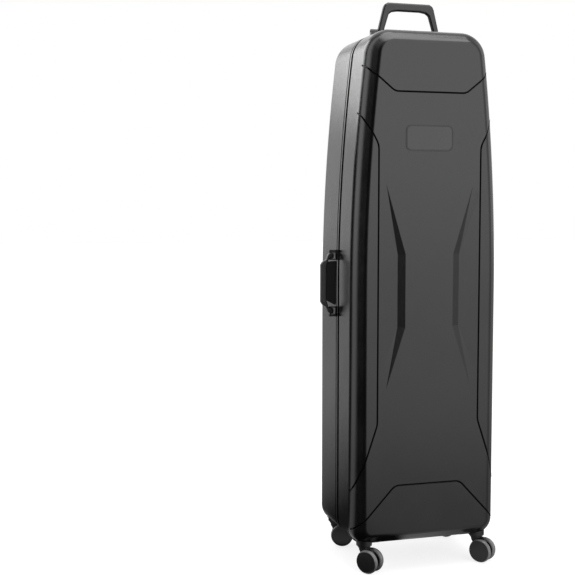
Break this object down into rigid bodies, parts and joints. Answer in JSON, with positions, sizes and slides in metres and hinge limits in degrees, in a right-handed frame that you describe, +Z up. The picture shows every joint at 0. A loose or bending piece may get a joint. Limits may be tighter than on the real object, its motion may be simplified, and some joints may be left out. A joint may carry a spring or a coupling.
{
  "type": "snowboard case",
  "caption": "Upright hard-shell snowboard case with a side-hinged lid, draw latches, folding top and side handles and swivelling twin-wheel casters.",
  "frame": {"origin": "on the floor under the middle of the standing case's bounding box", "axes": "+Z up along the case's length, +X to its right seen from the front, -Y out of its front (lid) face"},
  "size_m": [0.5286, 0.3682, 1.73],
  "materials": {
    "shell": "black, finely embossed diamond texture, satin sheen",
    "trim": "moulded black, satin",
    "metal": "satin",
    "rubber": "matt black",
    "tread": "grey, slightly soft, rounded",
    "cloth": "woven, charcoal"
  },
  "bodies": {
    "case": {"rear_shell": "shell", "rear_frame": "trim", "gasket": "rubber", "rear_lining": "cloth", "upper_strap": "cloth", "lower_strap": "cloth", "hinge_leaf_rear": "trim", "hinge_pin": "metal", "lower_latch_base": "metal", "middle_latch_base": "metal", "upper_latch_base": "metal", "top_handle_bracket_a": "trim", "top_handle_bracket_b": "trim", "top_handle_pin_a": "metal", "top_handle_pin_b": "metal", "side_handle_bracket_a": "trim", "side_handle_bracket_b": "trim", "side_handle_pin_a": "metal", "side_handle_pin_b": "metal", "caster_rl_mount": "trim", "caster_rr_mount": "trim"},
    "lid": {"front_shell": "shell", "front_frame": "trim", "front_lining": "cloth", "hinge_leaf_front": "trim", "lower_latch_keeper": "metal", "middle_latch_keeper": "metal", "upper_latch_keeper": "metal", "caster_fl_mount": "trim", "caster_fr_mount": "trim"},
    "top_grip": {"top_handle_bail": "trim"},
    "side_grip": {"side_handle_bail": "trim"},
    "lower_latch": {"lower_latch_lever": "metal"},
    "middle_latch": {"middle_latch_lever": "metal"},
    "upper_latch": {"upper_latch_lever": "metal"},
    "caster_fl": {"caster_fl_fork": "trim", "caster_fl_axle": "metal"},
    "wheel_fl_a": {"caster_fl_hub_a": "trim", "caster_fl_tyre_a": "tread"},
    "wheel_fl_b": {"caster_fl_hub_b": "trim", "caster_fl_tyre_b": "tread"},
    "caster_fr": {"caster_fr_fork": "trim", "caster_fr_axle": "metal"},
    "wheel_fr_a": {"caster_fr_hub_a": "trim", "caster_fr_tyre_a": "tread"},
    "wheel_fr_b": {"caster_fr_hub_b": "trim", "caster_fr_tyre_b": "tread"},
    "caster_rl": {"caster_rl_fork": "trim", "caster_rl_axle": "metal"},
    "wheel_rl_a": {"caster_rl_hub_a": "trim", "caster_rl_tyre_a": "tread"},
    "wheel_rl_b": {"caster_rl_hub_b": "trim", "caster_rl_tyre_b": "tread"},
    "caster_rr": {"caster_rr_fork": "trim", "caster_rr_axle": "metal"},
    "wheel_rr_a": {"caster_rr_hub_a": "trim", "caster_rr_tyre_a": "tread"},
    "wheel_rr_b": {"caster_rr_hub_b": "trim", "caster_rr_tyre_b": "tread"}
  },
  "joints": [
    {"name": "lid_open", "type": "hinge", "parent": "case", "child": "lid", "pos_m": [-0.2148, -0.01492, 0.5], "axis": [0, 0, -1], "range_deg": [0, 92]},
    {"name": "top_handle_fold", "type": "hinge", "parent": "case", "child": "top_grip", "pos_m": [0.0187, 0.01058, 1.6405], "axis": [-1, 0, 0], "range_deg": [0, 85]},
    {"name": "side_handle_fold", "type": "hinge", "parent": "case", "child": "side_grip", "pos_m": [-0.2308, 0.01058, 0.869], "axis": [0, 0, -1], "range_deg": [0, 85]},
    {"name": "lower_latch_swing", "type": "hinge", "parent": "case", "child": "lower_latch", "pos_m": [0.2603, 0.01908, 0.33], "axis": [0, 0, 1], "range_deg": [0, 100]},
    {"name": "middle_latch_swing", "type": "hinge", "parent": "case", "child": "middle_latch", "pos_m": [0.2603, 0.01908, 0.8], "axis": [0, 0, 1], "range_deg": [0, 100]},
    {"name": "upper_latch_swing", "type": "hinge", "parent": "case", "child": "upper_latch", "pos_m": [0.24557, 0.01908, 1.27046], "axis": [-0.07, 0, 0.9975], "range_deg": [0, 100]},
    {"name": "caster_fl_swivel", "type": "hinge", "parent": "lid", "child": "caster_fl", "pos_m": [-0.1683, -0.12592, 0.078], "axis": [0, 0, 1], "continuous": true},
    {"name": "wheel_fl_a_spin", "type": "hinge", "parent": "caster_fl", "child": "wheel_fl_a", "pos_m": [-0.14283, -0.13461, 0.036], "axis": [0.809, 0.5878, 0], "continuous": true},
    {"name": "wheel_fl_b_spin", "type": "hinge", "parent": "caster_fl", "child": "wheel_fl_b", "pos_m": [-0.16791, -0.15283, 0.036], "axis": [0.809, 0.5878, 0], "continuous": true},
    {"name": "caster_fr_swivel", "type": "hinge", "parent": "lid", "child": "caster_fr", "pos_m": [0.2057, -0.12592, 0.078], "axis": [0, 0, 1], "continuous": true},
    {"name": "wheel_fr_a_spin", "type": "hinge", "parent": "caster_fr", "child": "wheel_fr_a", "pos_m": [0.23117, -0.13461, 0.036], "axis": [0.809, 0.5878, 0], "continuous": true},
    {"name": "wheel_fr_b_spin", "type": "hinge", "parent": "caster_fr", "child": "wheel_fr_b", "pos_m": [0.20609, -0.15283, 0.036], "axis": [0.809, 0.5878, 0], "continuous": true},
    {"name": "caster_rl_swivel", "type": "hinge", "parent": "case", "child": "caster_rl", "pos_m": [-0.1683, 0.14008, 0.078], "axis": [0, 0, 1], "continuous": true},
    {"name": "wheel_rl_a_spin", "type": "hinge", "parent": "caster_rl", "child": "wheel_rl_a", "pos_m": [-0.1419, 0.14529, 0.036], "axis": [0.4067, 0.9135, 0], "continuous": true},
    {"name": "wheel_rl_b_spin", "type": "hinge", "parent": "caster_rl", "child": "wheel_rl_b", "pos_m": [-0.15451, 0.11697, 0.036], "axis": [0.4067, 0.9135, 0], "continuous": true},
    {"name": "caster_rr_swivel", "type": "hinge", "parent": "case", "child": "caster_rr", "pos_m": [0.2057, 0.14008, 0.078], "axis": [0, 0, 1], "continuous": true},
    {"name": "wheel_rr_a_spin", "type": "hinge", "parent": "caster_rr", "child": "wheel_rr_a", "pos_m": [0.23222, 0.13548, 0.036], "axis": [0.7071, 0.7071, 0], "continuous": true},
    {"name": "wheel_rr_b_spin", "type": "hinge", "parent": "caster_rr", "child": "wheel_rr_b", "pos_m": [0.2103, 0.11356, 0.036], "axis": [0.7071, 0.7071, 0], "continuous": true}
  ]
}
